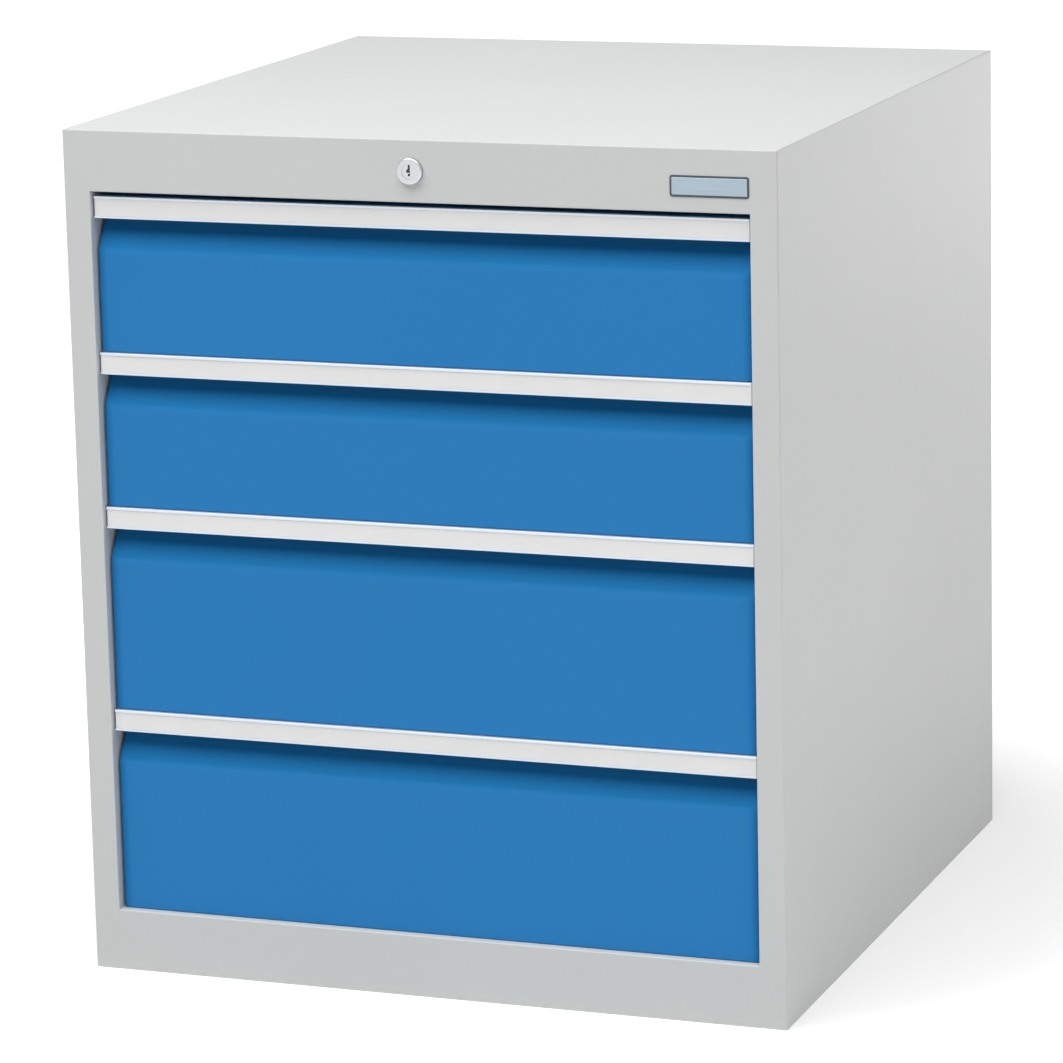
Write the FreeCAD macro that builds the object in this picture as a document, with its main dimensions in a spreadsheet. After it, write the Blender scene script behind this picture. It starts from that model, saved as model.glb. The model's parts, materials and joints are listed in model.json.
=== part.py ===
"""Workbench drawer cabinet: a steel carcass with four full-extension drawers and a central lock.

Millimetres. +X is right seen from the front, +Y goes to the rear, +Z is up. The origin is the middle
of the bounding box on the floor.
"""
import FreeCAD
import Part
import Sketcher
import os
import re

# Drawers from the top down, and the factor of X for each side, as they stand in the formulas.
DRAWERS = ("1", "2", "3", "4")
LEFT, RIGHT = "-1", "1"
SIDES = {"left": LEFT, "right": RIGHT}

# Driving dimensions. Each has one cell of the sheet.
SIZES = {
    # carcass
    "width": 705,
    "depth": 736,
    "height": 823,
    "sheet": 1.5,
    "rear_sheet": 1.2,
    "stile": 26.5,
    "top_rail": 58.5,
    "bottom_rail": 60,
    "rail_flange": 30,
    "rail_lip": 10,
    "rear_flange": 20,
    "base_flange": 18,
    "fold_radius": 1.8,
    "rim_radius": 1.2,
    # drawer fronts, from the top down; the lowest takes what is left of the opening
    "pitch_1": 150,
    "pitch_2": 150,
    "pitch_3": 200,
    "top_gap": 4.9,
    "front_gap": 0.4,
    "front_side_gap": 2,
    "front_setback": 8.5,
    "recess_setback": 23,
    "recess_drop": 31,
    "recess_height": 8,
    "front_back": 29,
    "front_sheet": 1.2,
    "front_lap": 8,
    "front_radius": 2.5,
    "front_edge": 0.8,
    "bend_radius": 12,
    # handle strips and their labels
    "strip_height": 21,
    "strip_setback": 4.5,
    "strip_side_gap": 1.8,
    "strip_wall": 3.2,
    "strip_web": 2,
    "strip_flange": 14,
    "strip_radius": 0.8,
    "channel_margin": 2.4,
    "channel_lip": 0.6,
    "channel_undercut": 1,
    "label_sheet": 0.5,
    "label_play": 0.15,
    # trays
    "rear_room": 105,
    "tray_sheet": 1,
    "tray_rise": 12,
    "tray_drop": 12,
    "hem_width": 3,
    "hem_height": 6,
    "slot_pitch": 25,
    "slot_width": 3,
    "slot_height": 22,
    "slot_margin": 25,
    # runners
    "runner_rise": 65,
    "runner_clearance": 5,
    "runner_offset": 2,
    "race": 4.4,
    "ball_play": 0.2,
    "inner_member_height": 28,
    "inner_member_width": 12,
    "member_sheet": 1.5,
    "web_gap": 1.3,
    "flange_gap": 1.5,
    "cabinet_member_sheet": 2,
    "cabinet_web_gap": 3.2,
    "race_lip": 1.2,
    "cage_sheet": 1,
    "cage_gap": 5,
    "ball_spacing": 36,
    "screw_spread": 12,
    "screw_head_diameter": 9,
    "screw_head_height": 1.8,
    "screw_diameter": 5,
    "screw_length": 8,
    "screw_play": 0.2,
    # uprights
    "upright_width": 30,
    "upright_sheet": 2,
    # lock
    "lock_drop": 29,
    "bezel_diameter": 25,
    "bezel_projection": 5,
    "bezel_radius": 1.4,
    "barrel_diameter": 19,
    "barrel_length": 24,
    "barrel_play": 0.1,
    "nut_width": 27,
    "nut_height": 4,
    "plug_diameter": 14.4,
    "plug_play": 0.08,
    "plug_recess": 0.5,
    "plug_tail": 4,
    "keyhole_top": 6.2,
    "keyhole_bottom": 4.2,
    "keyhole_width": 2,
    "keyhole_groove": 1.6,
    "keyhole_groove_top": 3,
    "keyhole_rib": 1,
    "keyhole_throat": 0.7,
    "keyhole_depth": 9,
    "shaft_diameter": 8,
    "shaft_play": 0.08,
    "bearing_width": 40,
    "bearing_sheet": 2,
    "bearing_gap": 15,
    "bearing_drop": 12,
    "bearing_flange": 10,
    "crank_radius": 10,
    "crank_angle": 45,
    "crank_width": 12,
    "crank_sheet": 3,
    "crank_gap": 6,
    "pin_diameter": 5,
    "pin_reach": 2,
    "pin_play": 0.6,
    "bar_gap": 13,
    "bar_width": 34,
    "bar_sheet": 3,
    "bar_head": 12,
    "bar_tail": 12,
    "bar_play": 0.4,
    "finger_width": 18,
    "finger_height": 13,
    "finger_play": 2,
    "mast_sheet": 2,
    "mast_lip": 6,
    "mast_room": 5,
    "catch_width": 20,
    "catch_reach": 20,
    "catch_sheet": 2,
    "catch_lip": 17,
    "catch_drop": 20,
    "catch_clearance": 2.5,
    # badge
    "badge_width": 71.6,
    "badge_height": 16,
    "badge_sheet": 1,
    "badge_side": 1.9,
    "badge_drop": 34.6,
    "badge_radius": 0.6,
}

# Places that follow from the driving dimensions.
PLACES = {
    "half_width": "width / 2",
    "front_y": "-(depth - bezel_projection) / 2",
    "rear_y": "front_y + depth",
    "inner_half": "half_width - sheet",
    "under_top": "height - sheet",
    "rear_face_y": "rear_y - rear_sheet",
    "opening_half": "half_width - stile",
    "opening_top": "height - top_rail",
    "opening_height": "opening_top - bottom_rail",
    "flange_y": "front_y + rail_flange",
    "pitch_4": "opening_height - pitch_1 - pitch_2 - pitch_3",
    "seat_1": "opening_top - top_gap - pitch_1",
    "seat_2": "seat_1 - pitch_2",
    "seat_3": "seat_2 - pitch_3",
    "seat_4": "seat_3 - pitch_4",
    "front_low_1": "front_gap",
    "front_low_2": "front_gap",
    "front_low_3": "front_gap",
    "front_low_4": "bottom_rail - seat_4 + front_gap",
    "front_half": "opening_half - front_side_gap",
    "face_y": "front_y + front_setback",
    "recess_y": "front_y + recess_setback",
    "front_back_y": "front_y + front_back",
    "strip_half": "opening_half - strip_side_gap",
    "strip_y": "front_y + strip_setback",
    "strip_back_y": "strip_y + strip_wall",
    "channel_y": "strip_y + channel_lip + label_sheet + 2 * label_play",
    "upright_face": "opening_half - runner_clearance",
    "outer_web": "upright_face - cabinet_member_sheet",
    "middle_back": "outer_web - cabinet_web_gap",
    "middle_web": "middle_back - member_sheet",
    "inner_tip": "middle_web - web_gap",
    "tray_half": "inner_tip - inner_member_width",
    "middle_tip": "tray_half + member_sheet + flange_gap",
    "outer_tip": "middle_tip + flange_gap",
    "tray_inner_half": "tray_half - tray_sheet",
    "tray_back_y": "rear_y - rear_room",
    "tray_inner_length": "tray_back_y - front_back_y - 2 * tray_sheet",
    "inner_half_height": "inner_member_height / 2",
    "middle_half_height": "inner_half_height + race + member_sheet",
    "outer_half_height": "middle_half_height + race + cabinet_member_sheet",
    "runner_y": "front_back_y + runner_offset",
    "runner_back_y": "tray_back_y",
    "runner_length": "runner_back_y - runner_y",
    "front_upright_y": "runner_y",
    "rear_upright_y": "runner_back_y - upright_width",
    "lock_z": "height - lock_drop",
    "plug_y": "front_y - bezel_projection + plug_recess",
    "plug_back_y": "front_y + barrel_length + plug_tail",
    "lip_y": "tray_back_y + catch_reach",
    "bar_y": "lip_y + bar_gap",
    "bar_back_y": "bar_y + bar_sheet",
    "crank_back_y": "bar_y - crank_gap",
    "shaft_end_y": "crank_back_y - crank_sheet",
    "bearing_y": "shaft_end_y - bearing_gap",
    "crank_x": "-crank_radius * cos(crank_angle)",
    "pin_z": "lock_z - crank_radius * sin(crank_angle)",
    "bar_x": "(crank_x - crank_radius) / 2",
    "mast_half": "bar_width / 2 + bar_play + mast_sheet",
    "mast_y": "bar_y - bar_play - mast_sheet",
    "mast_back_y": "bar_back_y + mast_room + mast_sheet",
    "finger_y": "lip_y - catch_sheet - finger_play - bar_sheet",
    "badge_z": "height - badge_drop",
    "badge_x": "opening_half - badge_side - badge_width / 2",
}
for drawer in DRAWERS:
    PLACES[f"tray_top_{drawer}"] = f"pitch_{drawer} - tray_drop"
    PLACES[f"catch_top_{drawer}"] = f"tray_top_{drawer} - catch_drop"
    PLACES[f"finger_top_{drawer}"] = f"seat_{drawer} + catch_top_{drawer} - catch_lip - catch_clearance"

doc = FreeCAD.newDocument("drawer_cabinet")
PARTS = []


def full(formula):
    """Write a formula in plain names as an expression on the sheet and the places."""
    def prefixed(match):
        word = match.group(0)
        if word in SIZES:
            return "sizes." + word
        if word in PLACES:
            return "places." + word
        return word
    return re.sub(r"[a-z_][a-z_0-9]*", prefixed, str(formula))


def make_sheet():
    sheet = doc.addObject("Spreadsheet::Sheet", "sizes")
    for row, (name, size) in enumerate(SIZES.items(), start=1):
        sheet.set(f"A{row}", name)
        sheet.set(f"B{row}", str(size))
        sheet.setAlias(f"B{row}", name)
    doc.recompute()
    return sheet


def make_places():
    places = doc.addObject("App::VarSet", "places")
    for name in PLACES:
        places.addProperty("App::PropertyFloat", name, "Places")
    for name, formula in PLACES.items():
        places.setExpression(name, full(formula))
    doc.recompute()
    return places


sheet = make_sheet()
places = make_places()


def value(formula):
    """The number that a formula gives now."""
    return float(places.evalExpression(full(formula)))


def new_body(label, z=None):
    """A body that lands in its own file. With z, its own height zero is at that formula."""
    body = doc.addObject("PartDesign::Body", label)
    body.Label = label
    body.AllowCompound = True
    if z is not None:
        body.setExpression(".Placement.Base.z", full(z))
    PARTS.append(body)
    return body


PLANE_ROLES = {"XY": "XY_Plane", "XZ": "XZ_Plane", "YZ": "YZ_Plane"}


def new_sketch(body, plane, start, length):
    """A sketch on a plane across X, Y or Z from which a feature fills start to start + length."""
    sketch = body.newObject("Sketcher::SketchObject", f"{body.Name}_sketch")
    origin_planes = {item.Role: item for item in body.Origin.OriginFeatures}
    sketch.AttachmentSupport = [(origin_planes[PLANE_ROLES[plane]], "")]
    sketch.MapMode = "FlatFace"
    # the normal of the XZ plane points to -Y, so its features grow from their rear face
    offset = f"-(({start}) + ({length}))" if plane == "XZ" else start
    sketch.setExpression(".AttachmentOffset.Base.z", full(offset))
    return sketch


def bind(sketch, constraint, formula):
    index = sketch.addConstraint(constraint)
    sketch.setExpression(f"Constraints[{index}]", full(formula))


def draw_polygon(sketch, corners):
    """A closed outline whose corners are bound to pairs of formulas."""
    points = [FreeCAD.Vector(value(x), value(y), 0) for x, y in corners]
    first = sketch.GeometryCount
    count = len(points)
    for place in range(count):
        sketch.addGeometry(Part.LineSegment(points[place], points[(place + 1) % count]))
    for place in range(count):
        line, following = first + place, first + (place + 1) % count
        sketch.addConstraint(Sketcher.Constraint("Coincident", line, 2, following, 1))
    for place, (x, y) in enumerate(corners):
        line, point = first + place, points[place]
        bind(sketch, Sketcher.Constraint("DistanceX", -1, 1, line, 1, point.x), x)
        bind(sketch, Sketcher.Constraint("DistanceY", -1, 1, line, 1, point.y), y)


def draw_circle(sketch, x, y, radius):
    centre = FreeCAD.Vector(value(x), value(y), 0)
    circle = sketch.addGeometry(Part.Circle(centre, FreeCAD.Vector(0, 0, 1), value(radius)))
    bind(sketch, Sketcher.Constraint("DistanceX", -1, 1, circle, 3, centre.x), x)
    bind(sketch, Sketcher.Constraint("DistanceY", -1, 1, circle, 3, centre.y), y)
    bind(sketch, Sketcher.Constraint("Radius", circle, value(radius)), radius)


def rectangle(low_x, high_x, low_y, high_y):
    return [(low_x, low_y), (high_x, low_y), (high_x, high_y), (low_x, high_y)]


def extrude(body, plane, start, length, outlines=(), circles=(), cut=False):
    """Add or cut the outlines and circles, drawn across the plane, from start over length."""
    sketch = new_sketch(body, plane, start, length)
    for corners in outlines:
        draw_polygon(sketch, corners)
    for x, y, radius in circles:
        draw_circle(sketch, x, y, radius)
    kind = "Pocket" if cut else "Pad"
    feature = body.newObject(f"PartDesign::{kind}", f"{body.Name}_{kind.lower()}")
    feature.Profile = sketch
    feature.setExpression("Length", full(length))
    feature.Reversed = cut
    doc.recompute()
    return feature


def fillet(body, radius, chosen):
    """Round the edges of the body that the test accepts."""
    base = body.Tip
    names = [f"Edge{i}" for i, edge in enumerate(base.Shape.Edges, start=1) if chosen(edge)]
    feature = body.newObject("PartDesign::Fillet", f"{body.Name}_fillet")
    feature.Base = (base, names)
    feature.setExpression("Radius", full(radius))
    doc.recompute()
    return feature


def near(one, other):
    return abs(one - other) < 1e-4


def runs_along(edge, axis, **places_of_edge):
    """True for a straight edge along the axis at the given places of the other axes."""
    first, last = edge.Vertexes[0].Point, edge.Vertexes[-1].Point
    crossing = [other for other in "xyz" if other != axis]
    straight = all(near(getattr(first, other), getattr(last, other)) for other in crossing)
    placed = all(near(getattr(first, other), place) for other, place in places_of_edge.items())
    return straight and placed and not near(getattr(first, axis), getattr(last, axis))


def side_panel(name, side):
    """One sheet: side, front stile with its inner flange, and the flange that takes the rear panel."""
    body = new_body(f"{name}_side_panel")
    extrude(body, "XY", "0", "under_top", [[
        (f"{side} * half_width", "rear_y"),
        (f"{side} * half_width", "front_y"),
        (f"{side} * opening_half", "front_y"),
        (f"{side} * opening_half", "flange_y"),
        (f"{side} * (opening_half + sheet)", "flange_y"),
        (f"{side} * (opening_half + sheet)", "front_y + sheet"),
        (f"{side} * inner_half", "front_y + sheet"),
        (f"{side} * inner_half", "rear_face_y - sheet"),
        (f"{side} * (half_width - rear_flange)", "rear_face_y - sheet"),
        (f"{side} * (half_width - rear_flange)", "rear_face_y"),
        (f"{side} * inner_half", "rear_face_y"),
        (f"{side} * inner_half", "rear_y"),
    ]])
    corner_x, front = value(f"{side} * half_width"), value("front_y")
    fillet(body, "fold_radius", lambda edge: runs_along(edge, "z", x=corner_x, y=front))
    round_stile_edge(body, side)


def round_stile_edge(body, side):
    """Round the stile's inner edge between the rails, so that the rails meet it flush."""
    sketch = new_sketch(body, "XY", "bottom_rail", "opening_height")
    edge_x, front, radius = value(f"{side} * opening_half"), value("front_y"), value("rim_radius")
    face_x = value(f"{side} * (opening_half + rim_radius)")
    corner = FreeCAD.Vector(edge_x, front, 0)
    on_face = FreeCAD.Vector(face_x, front, 0)
    on_flange = FreeCAD.Vector(edge_x, front + radius, 0)
    centre = FreeCAD.Vector(face_x, front + radius, 0)
    middle = centre + (corner - centre).normalize() * radius
    arc = sketch.addGeometry(Part.Arc(on_face, middle, on_flange))
    face_line = sketch.addGeometry(Part.LineSegment(corner, on_face))
    flange_line = sketch.addGeometry(Part.LineSegment(corner, on_flange))
    ends = {name: sketch.getPoint(arc, point) for name, point in (("start", 1), ("end", 2))}
    face_end = 1 if ends["start"].isEqual(on_face, 1e-6) else 2
    sketch.addConstraint(Sketcher.Constraint("Coincident", face_line, 1, flange_line, 1))
    sketch.addConstraint(Sketcher.Constraint("Coincident", face_line, 2, arc, face_end))
    sketch.addConstraint(Sketcher.Constraint("Coincident", flange_line, 2, arc, 3 - face_end))
    bind(sketch, Sketcher.Constraint("DistanceX", -1, 1, face_line, 1, corner.x), f"{side} * opening_half")
    bind(sketch, Sketcher.Constraint("DistanceY", -1, 1, face_line, 1, corner.y), "front_y")
    sketch.addConstraint(Sketcher.Constraint("Horizontal", face_line))
    sketch.addConstraint(Sketcher.Constraint("Vertical", flange_line))
    bind(sketch, Sketcher.Constraint("Distance", face_line, radius), "rim_radius")
    bind(sketch, Sketcher.Constraint("Distance", flange_line, radius), "rim_radius")
    bind(sketch, Sketcher.Constraint("Radius", arc, radius), "rim_radius")
    pocket = body.newObject("PartDesign::Pocket", f"{body.Name}_edge")
    pocket.Profile = sketch
    pocket.setExpression("Length", full("opening_height"))
    pocket.Reversed = True
    doc.recompute()


def rear_panel():
    body = new_body("rear_panel")
    extrude(body, "XZ", "rear_face_y", "rear_sheet", [
        rectangle("-inner_half", "inner_half", "0", "under_top")])


def top_panel():
    """The top sheet lies on the sides, the rails and the rear panel, and its rim is rounded."""
    body = new_body("top_panel")
    extrude(body, "XY", "under_top", "sheet", [
        rectangle("-half_width", "half_width", "front_y", "rear_y")])
    half, front, top = value("half_width"), value("front_y"), value("height")
    fillet(body, "fold_radius", lambda edge: any(
        runs_along(edge, "z", x=corner, y=front) for corner in (-half, half)))
    fillet(body, "rim_radius", lambda edge: all(near(end.Point.z, top) for end in edge.Vertexes))


def base_panel():
    """The floor sheet, notched round the stiles and the rear flanges, with turned-up ends."""
    body = new_body("base_panel")
    notch_x = "half_width - rear_flange"
    right = [
        ("opening_half", "front_y + sheet"),
        ("opening_half", "flange_y"),
        ("inner_half", "flange_y"),
        ("inner_half", "rear_face_y - sheet"),
        (notch_x, "rear_face_y - sheet"),
        (notch_x, "rear_face_y"),
    ]
    left = [(f"-({x})", y) for x, y in reversed(right)]
    extrude(body, "XY", "0", "sheet", [right + left])
    extrude(body, "XY", "0", "base_flange", [
        rectangle("-opening_half", "opening_half", "front_y + sheet", "front_y + 2 * sheet"),
        rectangle(f"-({notch_x})", notch_x, "rear_face_y - sheet", "rear_face_y"),
    ])


def front_rail(label, low, high, flange_at, lip_to):
    """A rail between the stiles: front sheet, a flange into the opening and its folded lip."""
    body = new_body(label)
    outward = 1 if flange_at == high else -1
    inner = f"({flange_at} - {outward} * sheet)"
    back = low if outward == 1 else high
    extrude(body, "YZ", "-opening_half", "2 * opening_half", [[
        ("front_y", back),
        ("front_y", flange_at),
        ("flange_y", flange_at),
        ("flange_y", lip_to),
        ("flange_y - sheet", lip_to),
        ("flange_y - sheet", inner),
        ("front_y + sheet", inner),
        ("front_y + sheet", back),
    ]])
    front, edge_z = value("front_y"), value(flange_at)
    fillet(body, "rim_radius", lambda edge: runs_along(edge, "x", y=front, z=edge_z))
    return body


def rails():
    front_rail("front_bottom_rail", "0", "bottom_rail", "bottom_rail", "bottom_rail - rail_lip")
    top = front_rail("front_top_rail", "opening_top", "under_top", "opening_top",
                     "opening_top + rail_lip")
    extrude(top, "XZ", "front_y", "sheet", cut=True,
            circles=[("0", "lock_z", "barrel_diameter / 2 + barrel_play")])


def screw_places(drawer, upright):
    """The two screws that hold one runner to one upright, as formulas in Y and Z."""
    y = f"{upright}_upright_y + upright_width / 2"
    return [(y, f"seat_{drawer} + runner_rise + {way} * screw_spread") for way in (-1, 1)]


def upright(name, side, end):
    """A channel open to the side panel. The runners are screwed to its web."""
    body = new_body(f"{name}_{end}_upright")
    start = f"{end}_upright_y"
    extrude(body, "XY", "sheet", "under_top - sheet", [[
        (f"{side} * inner_half", start),
        (f"{side} * upright_face", start),
        (f"{side} * upright_face", f"{start} + upright_width"),
        (f"{side} * inner_half", f"{start} + upright_width"),
        (f"{side} * inner_half", f"{start} + upright_width - upright_sheet"),
        (f"{side} * (upright_face + upright_sheet)", f"{start} + upright_width - upright_sheet"),
        (f"{side} * (upright_face + upright_sheet)", f"{start} + upright_sheet"),
        (f"{side} * inner_half", f"{start} + upright_sheet"),
    ]])
    holes = [(y, z, "screw_diameter / 2 + screw_play")
             for drawer in DRAWERS for y, z in screw_places(drawer, end)]
    web_start = "upright_face" if side == RIGHT else "-upright_face - upright_sheet"
    extrude(body, "YZ", web_start, "upright_sheet", circles=holes, cut=True)


def badge():
    """The bare badge plate at the right end of the top rail."""
    body = new_body("badge")
    extrude(body, "XZ", "front_y - badge_sheet", "badge_sheet", [
        rectangle("badge_x - badge_width / 2", "badge_x + badge_width / 2",
                  "badge_z - badge_height / 2", "badge_z + badge_height / 2")])
    front = value("front_y - badge_sheet")
    fillet(body, "badge_radius", lambda edge: all(near(end.Point.y, front) for end in edge.Vertexes))


def runner_section(side, web, thickness, tip, half_height, lip, centre, web_outside=True):
    """The outline across a runner member: web, two flanges and, with a lip, their raceway edges."""
    inward = -1 if web_outside else 1
    inner_web = f"({web} + {inward} * {thickness})"
    inner_edge = f"({tip} - {inward} * {thickness})"
    corners = [
        (web, f"{half_height}"),
        (tip, f"{half_height}"),
        (tip, f"({half_height} - {thickness} - {lip})"),
        (inner_edge, f"({half_height} - {thickness} - {lip})"),
        (inner_edge, f"({half_height} - {thickness})"),
        (inner_web, f"({half_height} - {thickness})"),
    ]
    if lip == "0":
        corners = corners[:2] + [(tip, f"({half_height} - {thickness})"), corners[-1]]
    upper = [(f"{side} * ({x})", f"{centre} + {z}") for x, z in corners]
    lower = [(f"{side} * ({x})", f"{centre} - {z}") for x, z in reversed(corners)]
    return upper + lower


def cabinet_member(name, side, drawer):
    """The fixed runner member, screwed to both uprights."""
    body = new_body(f"drawer_{drawer}_{name}_cabinet_member", z=f"seat_{drawer}")
    extrude(body, "XZ", "runner_y", "runner_length", [runner_section(
        side, "upright_face", "cabinet_member_sheet", "outer_tip", "outer_half_height",
        "race_lip", "runner_rise")])
    holes = [(y, f"({z}) - seat_{drawer}", "screw_diameter / 2 + screw_play")
             for end in ("front", "rear") for y, z in screw_places(drawer, end)]
    web_start = "outer_web" if side == RIGHT else "-upright_face"
    extrude(body, "YZ", web_start, "cabinet_member_sheet", circles=holes, cut=True)


def middle_members(drawer):
    """The pair of intermediate members. They travel half as far as the drawer."""
    body = new_body(f"drawer_{drawer}_middle_members", z=f"seat_{drawer}")
    extrude(body, "XZ", "runner_y", "runner_length", [runner_section(
        side, "middle_back", "member_sheet", "middle_tip", "middle_half_height",
        "race_lip", "runner_rise") for side in SIDES.values()])


def drawer_members(drawer):
    """The pair of members on the sides of the tray."""
    body = new_body(f"drawer_{drawer}_drawer_members", z=f"seat_{drawer}")
    extrude(body, "XZ", "runner_y", "runner_length", [runner_section(
        side, "tray_half", "member_sheet", "inner_tip", "inner_half_height", "0",
        "runner_rise", web_outside=False) for side in SIDES.values()])


def cage(low_x, high_x, low_y, high_y, centre_z, ball_radius):
    """One strip with its row of balls, as one solid."""
    thickness = value("cage_sheet")
    strip = Part.makeBox(high_x - low_x, high_y - low_y, thickness,
                         FreeCAD.Vector(low_x, low_y, centre_z - thickness / 2))
    spacing = value("ball_spacing")
    count = max(1, int((high_y - low_y) / spacing))
    first_y = (low_y + high_y - (count - 1) * spacing) / 2
    centre_x = (low_x + high_x) / 2
    balls = [Part.makeSphere(ball_radius, FreeCAD.Vector(centre_x, first_y + turn * spacing, centre_z))
             for turn in range(count)]
    return strip.multiFuse(balls)


def ball_cages(drawer):
    """The ball cages of both runners. They stay where the members overlap over the whole travel."""
    feature = doc.addObject("Part::Feature", f"drawer_{drawer}_ball_cages")
    ball_radius = value("race / 2 - ball_play")
    gap = value("cage_gap")
    travel = value("runner_length / 2")
    start, end = value("runner_y"), value("runner_back_y")
    centre = value("runner_rise")
    rows = (
        ("outer_tip + cabinet_member_sheet", "outer_web", "middle_half_height + race / 2",
         start + travel, end),
        ("middle_tip + member_sheet", "inner_tip", "inner_half_height + race / 2",
         start, start + travel),
    )
    cages = []
    for low, high, offset, low_y, high_y in rows:
        for side in SIDES.values():
            low_x, high_x = sorted((value(f"{side} * ({low} + ball_play)"),
                                    value(f"{side} * ({high} - ball_play)")))
            for way in (-1, 1):
                cages.append(cage(low_x, high_x, low_y + gap, high_y - gap,
                                  centre + way * value(offset), ball_radius))
    feature.Shape = Part.makeCompound([solid for one in cages for solid in one.Solids])
    feature.Label = feature.Name
    feature.setExpression(".Placement.Base.z", full(f"seat_{drawer}"))
    PARTS.append(feature)


def runner_screws():
    """Thirty-two equal screws: a flat head inside the cabinet member, a shank through both webs."""
    feature = doc.addObject("Part::Feature", "runner_screws")
    screws = []
    for side in SIDES.values():
        outward = FreeCAD.Vector(value(side), 0, 0)
        for drawer in DRAWERS:
            for end in ("front", "rear"):
                for y, z in screw_places(drawer, end):
                    seat = FreeCAD.Vector(value(f"{side} * outer_web"), value(y), value(z))
                    head = Part.makeCylinder(value("screw_head_diameter / 2"),
                                             value("screw_head_height"), seat, -outward)
                    shank = Part.makeCylinder(value("screw_diameter / 2"),
                                              value("screw_length"), seat, outward)
                    screws.append(head.fuse(shank).removeSplitter())
    feature.Shape = Part.makeCompound([solid for one in screws for solid in one.Solids])
    feature.Label = feature.Name
    PARTS.append(feature)


def tray(drawer):
    """The sheet box, open on top, with its hem, its divider slots and the catch behind."""
    body = new_body(f"drawer_{drawer}_tray", z=f"seat_{drawer}")
    top = f"tray_top_{drawer}"
    floor = "tray_rise + tray_sheet"
    extrude(body, "XY", "tray_rise", f"{top} - tray_rise", [
        rectangle("-tray_half", "tray_half", "front_back_y", "tray_back_y")])
    extrude(body, "XY", f"{top} - hem_height", "hem_height", [
        rectangle("-tray_half - hem_width", "tray_half + hem_width", "front_back_y",
                  "tray_back_y + hem_width")])
    extrude(body, "XY", floor, f"{top} - ({floor})", cut=True, outlines=[
        rectangle("-tray_inner_half", "tray_inner_half",
                  "front_back_y + tray_sheet", "tray_back_y - tray_sheet")])
    divider_slots(body, drawer)
    catch(body, drawer)


def divider_slots(body, drawer):
    """A row of slots in both side walls, above the runners, and one in the rear wall."""
    top = f"tray_top_{drawer} - hem_height - 2 * tray_sheet"
    count = int(value("(tray_inner_length - 2 * slot_margin) / slot_pitch")) + 1
    first_y = "front_back_y + tray_sheet + slot_margin"
    side_slots = extrude(body, "YZ", "-tray_half - hem_width", "2 * (tray_half + hem_width)", cut=True,
                         outlines=[rectangle(f"{first_y} - slot_width / 2",
                                             f"{first_y} + slot_width / 2",
                                             f"{top} - slot_height", top)])
    repeat(body, side_slots, "Y_Axis", count)


def repeat(body, feature, axis, count):
    """Repeat a feature along an axis of the body at the slot pitch."""
    pattern = body.newObject("PartDesign::LinearPattern", f"{body.Name}_pattern")
    axes = {item.Role: item for item in body.Origin.OriginFeatures}
    pattern.Originals = [feature]
    pattern.Direction = (axes[axis], [""])
    pattern.Occurrences = count
    pattern.setExpression("Length", full(f"slot_pitch * {count - 1}"))
    body.Tip = pattern
    doc.recompute()


def catch(body, drawer):
    """The hook behind the tray. A finger of the lock bar rises in front of its lip."""
    top = f"catch_top_{drawer}"
    extrude(body, "YZ", "bar_x - catch_width / 2", "catch_width", [[
        ("tray_back_y - tray_sheet", top),
        ("lip_y", top),
        ("lip_y", f"{top} - catch_lip"),
        ("lip_y - catch_sheet", f"{top} - catch_lip"),
        ("lip_y - catch_sheet", f"{top} - catch_sheet"),
        ("tray_back_y - tray_sheet", f"{top} - catch_sheet"),
    ]])


def drawer_front(drawer):
    """A folded pan: a flat face, a slope back to the grip recess and a rear lip on the tray."""
    body = new_body(f"drawer_{drawer}_front", z=f"seat_{drawer}")
    low = f"front_low_{drawer}"
    top = f"(pitch_{drawer} - strip_web)"
    bend = f"(pitch_{drawer} - strip_height - recess_drop)"
    recess = f"(pitch_{drawer} - strip_height - recess_height)"
    extrude(body, "YZ", "-front_half", "2 * front_half", [[
        ("face_y", low),
        ("face_y", bend),
        ("recess_y", recess),
        ("recess_y", top),
        ("front_back_y", top),
        ("front_back_y", low),
    ]])
    inside = "front_sheet"
    extrude(body, "YZ", f"-front_half + {inside}", f"2 * (front_half - {inside})", cut=True, outlines=[[
        (f"face_y + {inside}", f"{low} + {inside}"),
        (f"face_y + {inside}", bend),
        (f"recess_y + {inside}", recess),
        (f"recess_y + {inside}", f"{top} - {inside}"),
        (f"front_back_y - {inside}", f"{top} - {inside}"),
        (f"front_back_y - {inside}", f"{low} + {inside}"),
    ]])
    extrude(body, "XZ", f"front_back_y - {inside}", inside, cut=True, outlines=[
        rectangle("-tray_half + front_lap", "tray_half - front_lap",
                  "tray_rise + front_lap", f"tray_top_{drawer} - front_lap")])
    face, half, bottom = value("face_y"), value("front_half"), value(low)
    bends = {face: value(bend), value("recess_y"): value(recess)}
    fillet(body, "bend_radius", lambda edge: any(
        runs_along(edge, "x", y=place, z=bend_z) for place, bend_z in bends.items()))
    fillet(body, "front_radius", lambda edge: any(
        runs_along(edge, "z", x=side, y=face) for side in (-half, half)))
    fillet(body, "front_edge", lambda edge: runs_along(edge, "x", y=face, z=bottom))


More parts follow.
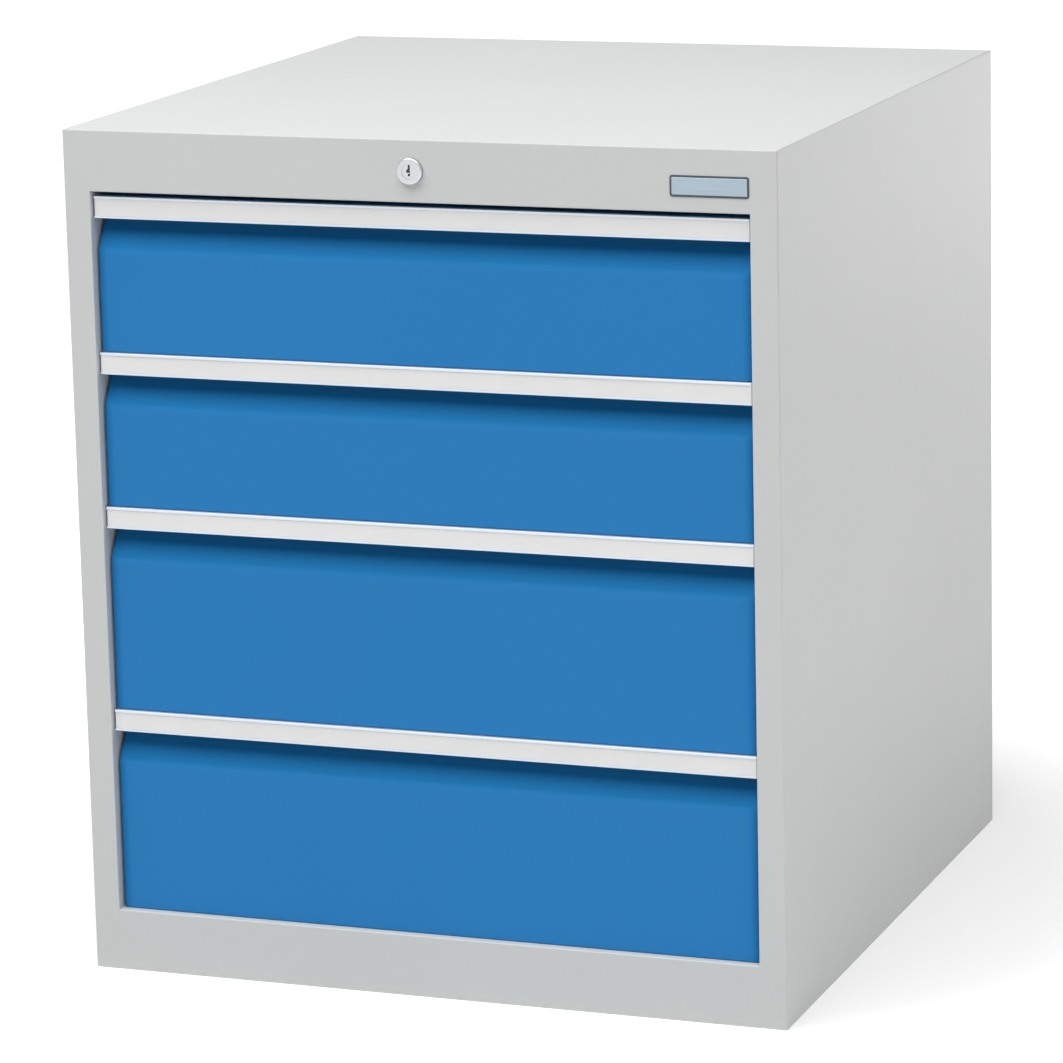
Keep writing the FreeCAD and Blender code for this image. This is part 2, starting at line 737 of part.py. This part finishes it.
def handle(drawer):
    """The aluminium profile: grip strip with its label channel, top web and fixing flange."""
    body = new_body(f"drawer_{drawer}_handle", z=f"seat_{drawer}")
    top = f"pitch_{drawer}"
    low = f"({top} - strip_height)"
    under_web = f"({top} - strip_web)"
    extrude(body, "YZ", "-strip_half", "2 * strip_half", [[
        ("strip_y", low),
        ("strip_back_y", low),
        ("strip_back_y", under_web),
        ("recess_y - strip_web", under_web),
        ("recess_y - strip_web", f"{top} - strip_flange"),
        ("recess_y", f"{top} - strip_flange"),
        ("recess_y", under_web),
        ("front_back_y", under_web),
        ("front_back_y", top),
        ("strip_y", top),
    ]])
    front = value("strip_y")
    edges = [value(low), value(top)]
    fillet(body, "strip_radius", lambda edge: any(
        runs_along(edge, "x", y=front, z=place) for place in edges))
    mouth_low, mouth_high = f"{low} + channel_margin", f"{top} - channel_margin"
    extrude(body, "YZ", "-strip_half", "2 * strip_half", cut=True, outlines=[[
        ("strip_y", mouth_low),
        ("strip_y + channel_lip", mouth_low),
        ("strip_y + channel_lip", f"{mouth_low} - channel_undercut"),
        ("channel_y", f"{mouth_low} - channel_undercut"),
        ("channel_y", f"{mouth_high} + channel_undercut"),
        ("strip_y + channel_lip", f"{mouth_high} + channel_undercut"),
        ("strip_y + channel_lip", mouth_high),
        ("strip_y", mouth_high),
    ]])


def label_strip(drawer):
    """The blank label in the handle's channel, a little shorter than the handle."""
    body = new_body(f"drawer_{drawer}_label", z=f"seat_{drawer}")
    low = f"pitch_{drawer} - strip_height + channel_margin - channel_undercut + label_play"
    high = f"pitch_{drawer} - channel_margin + channel_undercut - label_play"
    extrude(body, "XZ", "strip_y + channel_lip + label_play", "label_sheet", [
        rectangle("-strip_half + label_sheet", "strip_half - label_sheet", low, high)])


def lock_housing():
    """The cylinder's housing: a rounded bezel before the rail and a barrel through it."""
    body = new_body("lock_housing")
    extrude(body, "XZ", "front_y - bezel_projection", "bezel_projection",
            circles=[("0", "lock_z", "bezel_diameter / 2")])
    extrude(body, "XZ", "front_y", "barrel_length", circles=[("0", "lock_z", "barrel_diameter / 2")])
    front = value("front_y - bezel_projection")
    fillet(body, "bezel_radius", lambda edge: all(near(end.Point.y, front) for end in edge.Vertexes))
    extrude(body, "XZ", "front_y - bezel_projection", "bezel_projection + barrel_length", cut=True,
            circles=[("0", "lock_z", "plug_diameter / 2 + plug_play")])


def lock_nut():
    """A hexagon nut on the barrel, behind the rail."""
    body = new_body("lock_nut")
    corners = [(f"nut_width / 2 / cos(30) * cos({turn})",
                f"lock_z + nut_width / 2 / cos(30) * sin({turn})") for turn in range(0, 360, 60)]
    extrude(body, "XZ", "front_y + sheet", "nut_height", [corners])
    extrude(body, "XZ", "front_y + sheet", "nut_height", cut=True,
            circles=[("0", "lock_z", "barrel_diameter / 2 + barrel_play")])


def lock_plug():
    """The turning plug. Its keyhole has a side groove, and a rib below that leaves a throat."""
    body = new_body("lock_plug")
    extrude(body, "XZ", "plug_y", "plug_back_y - plug_y", circles=[("0", "lock_z", "plug_diameter / 2")])
    left, right = "-keyhole_width / 2", "keyhole_width / 2"
    groove, throat = "-keyhole_width / 2 - keyhole_groove", "keyhole_width / 2 - keyhole_throat"
    outline = [
        (left, "keyhole_top"),
        (right, "keyhole_top"),
        (right, "-keyhole_bottom"),
        (left, "-keyhole_bottom"),
        (left, "-2 * keyhole_rib"),
        (throat, "-2 * keyhole_rib"),
        (throat, "-keyhole_rib"),
        (groove, "-keyhole_rib"),
        (groove, "keyhole_groove_top - keyhole_groove"),
        (left, "keyhole_groove_top"),
    ]
    outline = [(x, f"lock_z + {z}") for x, z in outline]
    extrude(body, "XZ", "plug_y", "keyhole_depth", [outline], cut=True)


def lock_shaft():
    """The long rod from the plug to the crank, under the top panel."""
    body = new_body("lock_shaft")
    extrude(body, "XZ", "plug_back_y", "shaft_end_y - plug_back_y",
            circles=[("0", "lock_z", "shaft_diameter / 2")])


def lock_shaft_bearing():
    """An angle under the top panel that carries the rear end of the shaft."""
    body = new_body("lock_shaft_bearing")
    extrude(body, "YZ", "-bearing_width / 2", "bearing_width", [[
        ("bearing_y", "lock_z - bearing_drop"),
        ("bearing_y", "under_top"),
        ("bearing_y - bearing_flange", "under_top"),
        ("bearing_y - bearing_flange", "under_top - bearing_sheet"),
        ("bearing_y - bearing_sheet", "under_top - bearing_sheet"),
        ("bearing_y - bearing_sheet", "lock_z - bearing_drop"),
    ]])
    extrude(body, "XZ", "bearing_y - bearing_sheet", "bearing_sheet", cut=True,
            circles=[("0", "lock_z", "shaft_diameter / 2 + shaft_play")])


def lock_crank():
    """The arm on the shaft's end with the pin that lifts the lock bar."""
    body = new_body("lock_crank")
    half = "crank_width / 2"
    across_x, across_z = f"{half} * sin(crank_angle)", f"{half} * cos(crank_angle)"
    extrude(body, "XZ", "shaft_end_y", "crank_sheet", circles=[("0", "lock_z", half)])
    extrude(body, "XZ", "shaft_end_y", "crank_sheet", [[
        (across_x, f"lock_z - {across_z}"),
        (f"-{across_x}", f"lock_z + {across_z}"),
        (f"crank_x - {across_x}", f"pin_z + {across_z}"),
        (f"crank_x + {across_x}", f"pin_z - {across_z}"),
    ]])
    extrude(body, "XZ", "shaft_end_y", "crank_sheet", circles=[("crank_x", "pin_z", half)])
    extrude(body, "XZ", "shaft_end_y", "bar_back_y + pin_reach - shaft_end_y",
            circles=[("crank_x", "pin_z", "pin_diameter / 2")])


def lock_bar():
    """The upright bar with a slot for the crank pin and a hooked finger behind each drawer."""
    body = new_body("lock_bar")
    low = "(finger_top_4 - finger_height - bar_sheet - bar_tail)"
    high = "(pin_z + bar_head)"
    extrude(body, "XZ", "bar_y", "bar_sheet", [
        rectangle("bar_x - bar_width / 2", "bar_x + bar_width / 2", low, high)])
    extrude(body, "XZ", "bar_y", "bar_sheet", cut=True, outlines=[rectangle(
        "-crank_radius - pin_diameter / 2 - pin_play", "crank_x + pin_diameter / 2 + pin_play",
        "pin_z - pin_diameter / 2 - pin_play", "pin_z + pin_diameter / 2 + pin_play")])
    for drawer in DRAWERS:
        tip = f"finger_top_{drawer}"
        arm = f"({tip} - finger_height)"
        extrude(body, "YZ", "bar_x - finger_width / 2", "finger_width", [[
            ("bar_y", arm),
            ("finger_y + bar_sheet", arm),
            ("finger_y + bar_sheet", tip),
            ("finger_y", tip),
            ("finger_y", f"{arm} - bar_sheet"),
            ("bar_y", f"{arm} - bar_sheet"),
        ]])


def lock_mast():
    """The channel from base to top in which the lock bar slides."""
    body = new_body("lock_mast")
    right = [
        ("mast_half", "mast_back_y"),
        ("mast_half", "mast_y"),
        ("mast_half - mast_lip - mast_sheet", "mast_y"),
        ("mast_half - mast_lip - mast_sheet", "mast_y + mast_sheet"),
        ("mast_half - mast_sheet", "mast_y + mast_sheet"),
        ("mast_half - mast_sheet", "mast_back_y - mast_sheet"),
    ]
    left = [(f"-({x})", y) for x, y in reversed(right)]
    corners = [(f"bar_x + {x}", y) for x, y in right + left]
    extrude(body, "XY", "sheet", "under_top - sheet", [corners])


def carcass():
    for name, side in SIDES.items():
        side_panel(name, side)
        for end in ("front", "rear"):
            upright(name, side, end)
    rear_panel()
    top_panel()
    base_panel()
    rails()
    badge()


def runners_and_drawers():
    for drawer in DRAWERS:
        for name, side in SIDES.items():
            cabinet_member(name, side, drawer)
        middle_members(drawer)
        ball_cages(drawer)
        drawer_members(drawer)
        tray(drawer)
        drawer_front(drawer)
        handle(drawer)
        label_strip(drawer)
    runner_screws()


def lock():
    lock_housing()
    lock_nut()
    lock_plug()
    lock_shaft()
    lock_shaft_bearing()
    lock_crank()
    lock_bar()
    lock_mast()


def check():
    """Stop with the names of all objects that failed and all pieces without a sound shape."""
    failed = [item.Name for item in doc.Objects if {"Invalid", "Error"} & set(item.State)]
    unsound = [part.Label for part in PARTS if part.Shape.isNull() or not part.Shape.isValid()]
    if failed or unsound:
        raise RuntimeError(f"failed: {failed}, unsound: {unsound}")


def export():
    os.makedirs("parts", exist_ok=True)
    for part in PARTS:
        part.Shape.exportStep(f"parts/{part.Label}.step")
        print(part.Label, len(part.Shape.Solids), "solids", round(part.Shape.Volume), "mm3")


carcass()
runners_and_drawers()
lock()
doc.recompute()
check()
export()
print(len(PARTS), "pieces")
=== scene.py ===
"""The workbench drawer cabinet: finishes, the dark rim round the badge, studio and camera. Metres."""

import json
import math

import bmesh
import bpy
from mathutils import Matrix, Vector

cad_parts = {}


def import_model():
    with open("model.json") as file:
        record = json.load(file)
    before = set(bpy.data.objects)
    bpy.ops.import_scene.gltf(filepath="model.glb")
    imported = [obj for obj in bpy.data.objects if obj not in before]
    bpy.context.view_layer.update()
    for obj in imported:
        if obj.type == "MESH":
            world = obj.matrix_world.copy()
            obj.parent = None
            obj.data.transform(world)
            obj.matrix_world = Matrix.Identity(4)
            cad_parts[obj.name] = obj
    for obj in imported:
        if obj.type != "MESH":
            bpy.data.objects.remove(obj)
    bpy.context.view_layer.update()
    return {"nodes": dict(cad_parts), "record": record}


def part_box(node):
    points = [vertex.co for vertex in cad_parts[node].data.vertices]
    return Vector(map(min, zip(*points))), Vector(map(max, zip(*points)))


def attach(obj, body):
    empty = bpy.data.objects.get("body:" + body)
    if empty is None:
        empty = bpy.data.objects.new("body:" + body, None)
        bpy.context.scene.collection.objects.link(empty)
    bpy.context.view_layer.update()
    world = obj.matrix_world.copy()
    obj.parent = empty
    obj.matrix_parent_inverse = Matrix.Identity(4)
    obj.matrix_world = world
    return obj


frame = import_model()

NODES = frame["nodes"]
DRAWERS = (1, 2, 3, 4)
MM = 0.001


def linear(*channels):
    """A colour written as 8-bit sRGB, as Blender's linear RGBA."""
    def one(channel):
        share = channel / 255
        return share / 12.92 if share <= 0.04045 else ((share + 0.055) / 1.055) ** 2.4
    return [one(channel) for channel in channels] + [1.0]


# Node helpers


class Material:
    """A material with one Principled shader, and short calls to build its node tree."""

    def __init__(self, name, colour, roughness, metallic=0.0):
        self.material = bpy.data.materials.new(name)
        self.material.use_nodes = True
        self.material.diffuse_color = colour
        self.tree = self.material.node_tree
        self.shader = self.tree.nodes["Principled BSDF"]
        self.shader.inputs["Base Color"].default_value = colour
        self.shader.inputs["Roughness"].default_value = roughness
        self.shader.inputs["Metallic"].default_value = metallic
        self.place = self.node("ShaderNodeTexCoord").outputs["Object"]

    def node(self, kind, **settings):
        made = self.tree.nodes.new(kind)
        for name, setting in settings.items():
            setattr(made, name, setting)
        return made

    def link(self, source, target):
        self.tree.links.new(source, target)

    def stretched(self, scale):
        """The object's own coordinates, scaled along each axis."""
        mapping = self.node("ShaderNodeMapping")
        mapping.inputs["Scale"].default_value = scale
        self.link(self.place, mapping.inputs["Vector"])
        return mapping.outputs["Vector"]

    def noise(self, scale, detail=2.0, rough=0.5, place=None):
        noise = self.node("ShaderNodeTexNoise")
        noise.inputs["Scale"].default_value = scale
        noise.inputs["Detail"].default_value = detail
        noise.inputs["Roughness"].default_value = rough
        self.link(place or self.place, noise.inputs["Vector"])
        return noise.outputs["Fac"]

    def between(self, factor, low, high, start=0.3, end=0.7):
        """A value that goes from low to high as the factor goes from start to end."""
        ranged = self.node("ShaderNodeMapRange")
        for name, setting in (("From Min", start), ("From Max", end), ("To Min", low), ("To Max", high)):
            ranged.inputs[name].default_value = setting
        self.link(factor, ranged.inputs["Value"])
        return ranged.outputs["Result"]

    def axis(self, name):
        """One of the object's own coordinates."""
        place = self.node("ShaderNodeSeparateXYZ")
        self.link(self.place, place.inputs[0])
        return place.outputs[name]

    def behind(self, plane, ramp):
        """0 before the plane at that Y of the frame at rest, 1 from the ramp's length behind it."""
        return self.between(self.axis("Y"), 0.0, 1.0, plane, plane + ramp)

    def mix(self, factor, first, second):
        """A colour between two, each of them a constant or a socket."""
        mixed = self.node("ShaderNodeMix", data_type="RGBA")
        for name, colour in (("A", first), ("B", second)):
            if isinstance(colour, list):
                mixed.inputs[name].default_value = colour
            else:
                self.link(colour, mixed.inputs[name])
        self.link(factor, mixed.inputs["Factor"])
        return mixed.outputs["Result"]

    def bump(self, height, depth):
        """Bump the surface by a height, whose full swing is the depth in metres."""
        bump = self.node("ShaderNodeBump")
        bump.inputs["Distance"].default_value = depth
        before = self.shader.inputs["Normal"].links
        if before:
            self.link(before[0].from_socket, bump.inputs["Normal"])
        self.link(height, bump.inputs["Height"])
        self.link(bump.outputs["Normal"], self.shader.inputs["Normal"])

    def colour_from(self, socket):
        self.link(socket, self.shader.inputs["Base Color"])

    def roughness_from(self, socket):
        self.link(socket, self.shader.inputs["Roughness"])


def shade(colour, factor):
    """The colour, lighter or darker by a factor."""
    return [channel * factor for channel in colour[:3]] + [1.0]


# Finishes


TONE_SWING = 0.015
GLOSS_SWING = 0.03
WAVE_SCALE, WAVE_DEPTH = 9.0, 0.05 * MM


def powder_coat(name, colour, roughness, peel_size, peel_depth, gloss_level):
    """Powder paint: a fine orange peel on broad, faint waves, with a hardly uneven tone."""
    paint = Material(name, colour, roughness)
    cloud = paint.between(paint.noise(3.0, detail=3), 0.0, 1.0)
    paint.tone = paint.mix(cloud, shade(colour, 1 - TONE_SWING), shade(colour, 1 + TONE_SWING))
    paint.colour_from(paint.tone)
    gloss = paint.noise(1 / (4 * peel_size), detail=2)
    paint.roughness_from(paint.between(gloss, roughness - GLOSS_SWING, roughness + GLOSS_SWING))
    paint.bump(paint.noise(1 / peel_size, detail=2, rough=0.45), peel_depth)
    paint.bump(paint.noise(WAVE_SCALE, detail=1), WAVE_DEPTH)
    paint.shader.inputs["Specular IOR Level"].default_value = gloss_level
    return paint


GREY = linear(209, 211, 210)
BLUE = linear(50, 132, 197)
# painted shade: the three darker blues below stand in for shade at the fronts' ends, under the handles and
# in the recesses
END_SHADE_BLUE = linear(28, 111, 171)
SHADED_BLUE = linear(31, 120, 181)
RECESS_SHADE_BLUE = linear(24, 95, 145)
END_SHADE_RAMP = 9 * MM            # painted shade: from the face's blue to the darker end blue, at each end of a front
SLOPE_SHADE_RAMP = 1.8 * MM          # painted shade: from there to the shaded blue, behind the plane of the face
WALL_SHADE_START = 12.9 * MM        # behind the face, just before the recess's rear wall, where the darkest painted shade starts
WALL_SHADE_RAMP = 1.5 * MM          # painted shade: from the shaded blue to the recess's darkest blue


def grey_paint():
    return powder_coat("grey_powder_coat", GREY, 0.46, 0.9 * MM, 0.02 * MM, 0.4).material


def front_paint():
    """The blue powder coat, with painted shade. As in the photograph its tone is deeper towards the two
    ends and behind the plane of the face, the more so on the recess's rear wall: painted shade at the ends,
    under the handle and in the recess."""
    paint = powder_coat("blue_powder_coat", BLUE, 0.5, 1.1 * MM, 0.015 * MM, 0.04)
    low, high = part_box("drawer_1_front")
    face, half = low.y, high.x
    ends = paint.node("ShaderNodeMath", operation="ABSOLUTE")
    paint.link(paint.axis("X"), ends.inputs[0])
    # painted shade: darker blue towards both ends of each front, behind the face's plane, and darkest on
    # the recess's rear wall
    end_shade = paint.between(ends.outputs[0], 0.0, 1.0, half - END_SHADE_RAMP, half)
    with_end_shade = paint.mix(end_shade, paint.tone, END_SHADE_BLUE)
    with_slope_shade = paint.mix(paint.behind(face, SLOPE_SHADE_RAMP), with_end_shade, SHADED_BLUE)
    wall_shade = paint.behind(face + WALL_SHADE_START, WALL_SHADE_RAMP)
    paint.colour_from(paint.mix(wall_shade, with_slope_shade, RECESS_SHADE_BLUE))
    return paint.material


STRIP_DEPTH = 5 * MM          # bare from the handle's front to here, painted behind it in the shaded blue, partly painted shade
STRIP_EDGE = 0.1 * MM
BARE_METALLIC = 0.5


def anodised():
    """Drawn and anodised aluminium with die lines along X. The web behind the strip is painted over in the
    shaded blue, which is partly painted shade for the gap above each strip.
    """
    colour = linear(206, 213, 222)
    metal = Material("anodised_aluminium", colour, 0.4)
    lines = metal.noise(900.0, detail=3, rough=0.6, place=metal.stretched((0.004, 1, 1)))
    bare = metal.mix(metal.between(lines, 0.0, 1.0), shade(colour, 0.96), shade(colour, 1.03))
    # the web behind the strip is blue paint in the darker shaded blue: partly paint, partly painted shade
    # in the gap above the strip
    web_paint_and_shade = metal.behind(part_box("drawer_1_handle")[0].y + STRIP_DEPTH, STRIP_EDGE)
    metal.colour_from(metal.mix(web_paint_and_shade, bare, SHADED_BLUE))
    metallic = metal.between(web_paint_and_shade, BARE_METALLIC, 0.0, start=0.0, end=1.0)
    metal.link(metallic, metal.shader.inputs["Metallic"])
    metal.roughness_from(metal.between(lines, 0.36, 0.46))
    metal.bump(lines, 0.012 * MM)
    return metal.material


def label_paper():
    """Blank label card behind its clear cover: white, with a faint fibre and some gloss."""
    card = Material("label_card", linear(236, 235, 234), 0.38)
    fibre = card.noise(1400.0, detail=4, rough=0.65)
    cloud = card.between(card.noise(22.0, detail=2), 0.0, 1.0)
    card.colour_from(card.mix(cloud, linear(234, 234, 233), linear(238, 237, 236)))
    card.roughness_from(card.between(fibre, 0.32, 0.46))
    card.bump(fibre, 0.008 * MM)
    card.shader.inputs["Coat Weight"].default_value = 0.3
    return card.material


def zinc(name, colour, roughness):
    """Zinc-plated or galvanised sheet: flat crystals of slightly different tone, and rolling lines."""
    metal = Material(name, colour, roughness, metallic=1.0)
    crystals = metal.node("ShaderNodeTexVoronoi")
    crystals.inputs["Scale"].default_value = 160.0
    metal.link(metal.place, crystals.inputs["Vector"])
    level = metal.node("ShaderNodeRGBToBW")
    metal.link(crystals.outputs["Color"], level.inputs["Color"])
    metal.colour_from(metal.mix(level.outputs["Val"], shade(colour, 0.86), shade(colour, 1.1)))
    metal.roughness_from(metal.between(level.outputs["Val"], roughness - 0.07, roughness + 0.09, 0.1, 0.9))
    metal.bump(metal.noise(700.0, detail=3, place=metal.stretched((1, 0.02, 1))), 0.01 * MM)
    return metal.material


def steel():
    """Plain drawn steel with fine scratches along Y."""
    colour = linear(176, 178, 182)
    metal = Material("drawn_steel", colour, 0.32, metallic=1.0)
    lines = metal.noise(1500.0, detail=3, rough=0.6, place=metal.stretched((1, 0.01, 1)))
    metal.colour_from(metal.mix(metal.between(lines, 0.0, 1.0), shade(colour, 0.85), shade(colour, 1.08)))
    metal.roughness_from(metal.between(lines, 0.24, 0.42))
    metal.bump(lines, 0.006 * MM)
    return metal.material


def turned_nickel():
    """Satin nickel with turning rings round the lock's axis."""
    metal = Material("turned_nickel", linear(186, 188, 190), 0.3, metallic=0.9)
    low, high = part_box("lock_housing")
    centre = (low + high) / 2
    mapping = metal.node("ShaderNodeMapping")
    mapping.inputs["Location"].default_value = (-centre.x, 0, -centre.z)
    mapping.inputs["Scale"].default_value = (1, 0, 1)
    metal.link(metal.place, mapping.inputs["Vector"])
    length = metal.node("ShaderNodeVectorMath", operation="LENGTH")
    metal.link(mapping.outputs["Vector"], length.inputs[0])
    rings = metal.noise(9000.0, detail=1, place=length.outputs["Value"])
    metal.roughness_from(metal.between(rings, 0.2, 0.36))
    metal.bump(rings, 0.006 * MM)
    return metal.material


def badge_face():
    """The bare badge: bluish satin metal with a fine horizontal grain."""
    colour = linear(160, 176, 188)
    metal = Material("badge_face", colour, 0.4, metallic=0.5)
    grain = metal.noise(1800.0, detail=2, place=metal.stretched((0.01, 1, 1)))
    metal.colour_from(metal.mix(metal.between(grain, 0.0, 1.0), shade(colour, 0.93), shade(colour, 1.05)))
    metal.bump(grain, 0.006 * MM)
    return metal.material


def dark_rim():
    """A dark, fairly rough finish with a fine grain, for the thin rim round the badge."""
    colour = linear(70, 76, 82)
    rubber = Material("dark_rim", colour, 0.6)
    grain = rubber.noise(2500.0, detail=2)
    rubber.colour_from(rubber.mix(grain, shade(colour, 0.85), shade(colour, 1.15)))
    rubber.bump(grain, 0.01 * MM)
    return rubber.material


FINISHES = {
    "carcass_paint": grey_paint(),
    "front_paint": front_paint(),
    "handle": anodised(),
    "label": label_paper(),
    "zinc": zinc("zinc_plate", linear(172, 176, 183), 0.38),
    "tray_zinc": zinc("galvanised_sheet", linear(166, 170, 175), 0.45),
    "steel": steel(),
    "chrome": turned_nickel(),
    "badge": badge_face(),
}


SHARP = math.radians(50)


def finish_nodes():
    """Give every node the finish of its slot."""
    slots = {row["node"]: row["material_slot"] for row in frame["record"]["subparts"]}
    for name, piece in NODES.items():
        piece.data.materials.clear()
        piece.data.materials.append(FINISHES[slots[name]])


def break_edges(names, width):
    """Bevel the sharp edges of these nodes."""
    for name in names:
        bevel = NODES[name].modifiers.new("broken_edges", "BEVEL")
        bevel.width = width
        bevel.segments = 2
        bevel.limit_method = "ANGLE"
        bevel.angle_limit = SHARP


finish_nodes()
break_edges(["lock_plug", "lock_housing"], 0.25 * MM)
break_edges([f"drawer_{drawer}_{part}" for drawer in DRAWERS for part in ("handle", "label")], 0.15 * MM)


# The dark rim round the badge


def mesh_object(name, build, material, body):
    """A new piece built by a bmesh function, riding on a body."""
    mesh = bpy.data.meshes.new(name)
    work = bmesh.new()
    build(work)
    bmesh.ops.recalc_face_normals(work, faces=work.faces)
    work.to_mesh(mesh)
    work.free()
    mesh.materials.append(material)
    piece = bpy.data.objects.new(name, mesh)
    bpy.context.scene.collection.objects.link(piece)
    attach(piece, body)
    return piece


def rounded_outline(low, high, radius, steps=5):
    """The points of a rounded rectangle in X and Z."""
    corners = (
        (high.x - radius, high.z - radius, 0),
        (low.x + radius, high.z - radius, 90),
        (low.x + radius, low.z + radius, 180),
        (high.x - radius, low.z + radius, 270),
    )
    points = []
    for x, z, start in corners:
        for step in range(steps + 1):
            turn = math.radians(start + 90 * step / steps)
            points.append((x + radius * math.cos(turn), z + radius * math.sin(turn)))
    return points


def badge_dark_rim():
    """A dark rim round the badge, a thin dark line on the rail."""
    rim, thickness, corner = 1.8 * MM, 0.55 * MM, 0.4 * MM
    low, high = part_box("badge")
    back = high.y
    front = back - thickness
    grown = Vector((rim, 0, rim))
    inner = rounded_outline(low, high, corner)
    outer = rounded_outline(low - grown, high + grown, corner + rim)

    def build(work):
        rings = [[work.verts.new((x, y, z)) for x, z in outline]
                 for outline, y in ((outer, back), (outer, front), (inner, front), (inner, back))]
        count = len(inner)
        for ring, following in zip(rings, rings[1:] + rings[:1]):
            for place in range(count):
                after = (place + 1) % count
                work.faces.new((ring[place], ring[after], following[after], following[place]))
    return mesh_object("badge_dark_rim", build, dark_rim(), "cabinet")


# a thin dark rim on the rail round the badge
badge_dark_rim()


# Studio


WHITE = linear(255, 255, 255)
FLOOR_SIZE = 60
FLOOR_TONE = linear(220, 220, 220)
NEAR, FAR = 0.5, 1.4          # distances from the cabinet's middle
NEAR_GLOW, FAR_GLOW = 0.36, 1.0
WORLD_LIGHT = 0.08
LAMPS = (                     # name, place, aim, size, watts
    ("overhead", (-0.6, -2.4, 4.3), (-0.6, -2.4, 0), (6.0, 4.5), 306),
    ("right", (1.6, 0, 0.16), (0.35, 0.1, 0.12), (2.6, 0.3), 5.4),
    ("front", (0, -1.55, 0.1), (0, -0.37, 0.08), (1.6, 0.16), 0.6),
    ("left", (-3.0, 0.8, 0.46), (-0.35, 0, 0.42), (2.6, 0.7), 20),
    ("back", (0, 3.2, 0.5), (0, 0.37, 0.42), (2.6, 0.8), 28),
)
# The camera, as the cabinet's edges in the photograph give it
AZIMUTH, ELEVATION, ROLL = math.radians(20.13), math.radians(12.26), math.radians(1.22)
CAMERA_PLACE = Vector((1.6568, -4.506, 1.4488))
LENS, SENSOR = 165.86, 36
SHIFT = (-0.0269, -0.0277)


def seen_rays(tree):
    """1 for the rays that show the surroundings: the camera's own, reflections and what glass lets by."""
    rays = tree.nodes.new("ShaderNodeLightPath")
    seen = rays.outputs["Is Camera Ray"]
    for name in ("Is Glossy Ray", "Is Transmission Ray"):
        either = tree.nodes.new("ShaderNodeMath")
        either.operation = "MAXIMUM"
        tree.links.new(seen, either.inputs[0])
        tree.links.new(rays.outputs[name], either.inputs[1])
        seen = either.outputs[0]
    return seen


def floor():
    """A wide pale floor. Far from the cabinet it is lifted to white, near it the shadow stays."""
    bpy.ops.mesh.primitive_plane_add(size=FLOOR_SIZE, location=(0, 0, 0))
    plane = bpy.context.object
    plane.name = "studio_floor"
    surface = Material("studio_floor", FLOOR_TONE, 0.9)
    shader = surface.shader
    distance = surface.node("ShaderNodeVectorMath", operation="LENGTH")
    surface.link(surface.place, distance.inputs[0])
    glow = surface.node("ShaderNodeMath", operation="MULTIPLY")
    surface.link(surface.between(distance.outputs["Value"], NEAR_GLOW, FAR_GLOW, NEAR, FAR), glow.inputs[1])
    surface.link(seen_rays(surface.tree), glow.inputs[0])
    shader.inputs["Emission Color"].default_value = WHITE
    surface.link(glow.outputs[0], shader.inputs["Emission Strength"])
    plane.data.materials.append(surface.material)


def world():
    """A plain white surround, weaker as a light than it looks."""
    made = bpy.data.worlds.new("studio")
    made.use_nodes = True
    nodes, links = made.node_tree.nodes, made.node_tree.links
    background = nodes["Background"]
    background.inputs["Color"].default_value = WHITE
    level = nodes.new("ShaderNodeMapRange")
    level.inputs["To Min"].default_value = WORLD_LIGHT
    level.inputs["To Max"].default_value = 1.0
    links.new(seen_rays(made.node_tree), level.inputs["Value"])
    links.new(level.outputs["Result"], background.inputs["Strength"])
    bpy.context.scene.world = made


def softbox(name, place, aim, size, power):
    """A lamp that lights the cabinet and is not seen itself."""
    data = bpy.data.lights.new(name, "AREA")
    data.shape = "RECTANGLE"
    data.size, data.size_y = size
    data.energy = power
    lamp = bpy.data.objects.new(name, data)
    bpy.context.scene.collection.objects.link(lamp)
    lamp.location = place
    lamp.visible_camera = False
    lamp.rotation_euler = (Vector(aim) - Vector(place)).to_track_quat("-Z", "Y").to_euler()


def camera():
    """The camera that took the photograph."""
    ahead = Vector((
        -math.sin(AZIMUTH) * math.cos(ELEVATION),
        math.cos(AZIMUTH) * math.cos(ELEVATION),
        -math.sin(ELEVATION),
    ))
    data = bpy.data.cameras.new("camera")
    data.sensor_width = SENSOR
    data.lens = LENS
    data.shift_x, data.shift_y = SHIFT
    data.clip_end = 100
    holder = bpy.data.objects.new("camera", data)
    bpy.context.scene.collection.objects.link(holder)
    level = ahead.to_track_quat("-Z", "Y").to_matrix().to_4x4()
    holder.matrix_world = Matrix.Translation(CAMERA_PLACE) @ level @ Matrix.Rotation(-ROLL, 4, "Z")
    bpy.context.scene.camera = holder


floor()
world()
for lamp in LAMPS:
    softbox(*lamp)
camera()
bpy.context.scene.view_settings.view_transform = "Standard"
